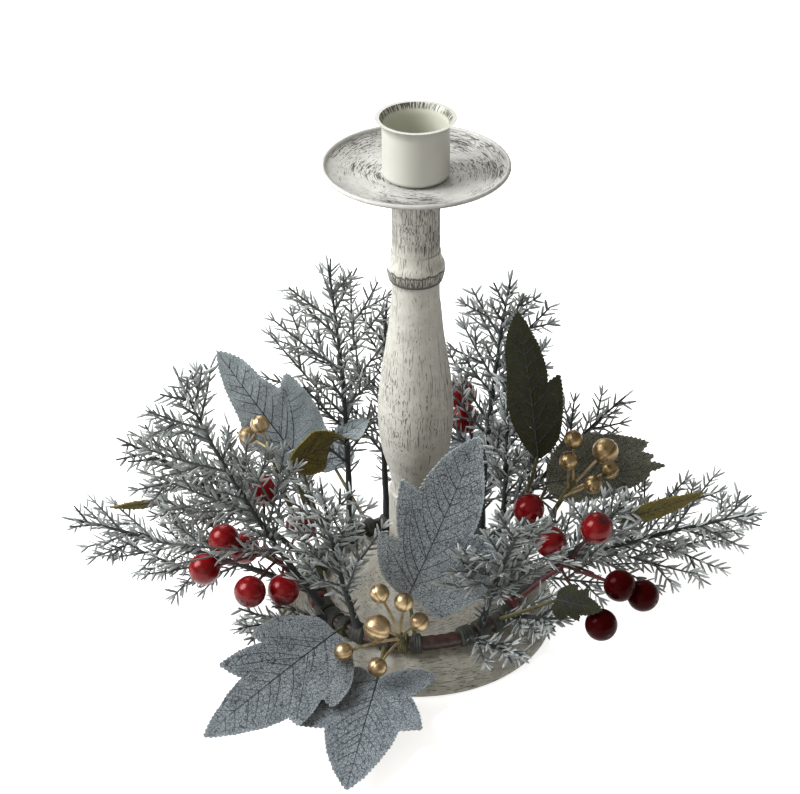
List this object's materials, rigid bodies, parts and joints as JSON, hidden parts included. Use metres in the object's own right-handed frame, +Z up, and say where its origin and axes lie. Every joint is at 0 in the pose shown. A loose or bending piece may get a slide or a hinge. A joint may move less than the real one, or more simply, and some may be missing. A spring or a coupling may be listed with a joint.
{
  "type": "candlestick with candle ring",
  "caption": "Distressed candlestick with a foot, turned column, drip pan and cup, and a ring of frosted juniper sprigs, leaves and berries resting on its foot.",
  "frame": {"origin": "centre of the pad's underside, on the table", "axes": "+Z up along the column's axis, -Y towards the front of the picture, +X to the right"},
  "size_m": [0.3046, 0.2318, 0.2345],
  "materials": {
    "cream_iron": "distressed satin paint",
    "cream_wood": "painted, distressed",
    "pad_felt": "felt",
    "zinc_steel": "zinc plated",
    "hoop_plastic": "dark brown",
    "frosted_green": "frosted",
    "leaf_slate": "printed, stiffened",
    "leaf_olive": "printed, stiffened",
    "wire_red": "wrapped wire",
    "wire_gold": "wrapped wire",
    "berry_red": "glossy",
    "berry_gold": "metallic paint"
  },
  "bodies": {
    "candlestick": {"base_pad": "pad_felt", "base_foot": "cream_iron", "base_nut": "zinc_steel", "base_washer": "zinc_steel", "neck_sleeve": "cream_iron", "column": "cream_wood", "collar_ring": "cream_iron", "drip_pan": "cream_iron", "candle_cup": "cream_iron", "tie_bolt": "zinc_steel"},
    "wreath": {"gold_front_berries": "berry_gold", "gold_front_wires": "wire_gold", "gold_left_berries": "berry_gold", "gold_left_wires": "wire_gold", "gold_right_berries": "berry_gold", "gold_right_wires": "wire_gold", "hoop": "hoop_plastic", "leaf_back_left": "leaf_slate", "leaf_back_right": "leaf_olive", "leaf_centre": "leaf_slate", "leaf_dark_right": "leaf_slate", "leaf_folded_left": "leaf_olive", "leaf_front": "leaf_slate", "leaf_front_left": "leaf_slate", "leaf_low_right": "leaf_slate", "leaf_rear_left": "leaf_slate", "leaf_rear_right": "leaf_slate", "leaf_small_left": "leaf_olive", "leaf_small_right": "leaf_olive", "red_left_berries": "berry_red", "red_left_wires": "wire_red", "red_rear_berries": "berry_red", "red_rear_wires": "wire_red", "red_right_berries": "berry_red", "red_right_wires": "wire_red", "sprig_back_left": "frosted_green", "sprig_back_right": "frosted_green", "sprig_base_right": "frosted_green", "sprig_far_right": "frosted_green", "sprig_front_right": "frosted_green", "sprig_inner_right": "frosted_green", "sprig_left_drop": "frosted_green", "sprig_left_front": "frosted_green", "sprig_left_inner": "frosted_green", "sprig_left_low": "frosted_green", "sprig_left_upper": "frosted_green", "sprig_low_right": "frosted_green", "sprig_middle_right": "frosted_green", "sprig_rear": "frosted_green", "sprig_rear_left": "frosted_green", "sprig_rear_low": "frosted_green", "sprig_rear_right": "frosted_green", "sprig_small_right": "frosted_green"}
  },
  "joints": [
    {"name": "ring_lift", "type": "slide", "parent": "candlestick", "child": "wreath", "axis": [0, 0, 1], "range_m": [0, 0.24]}
  ]
}
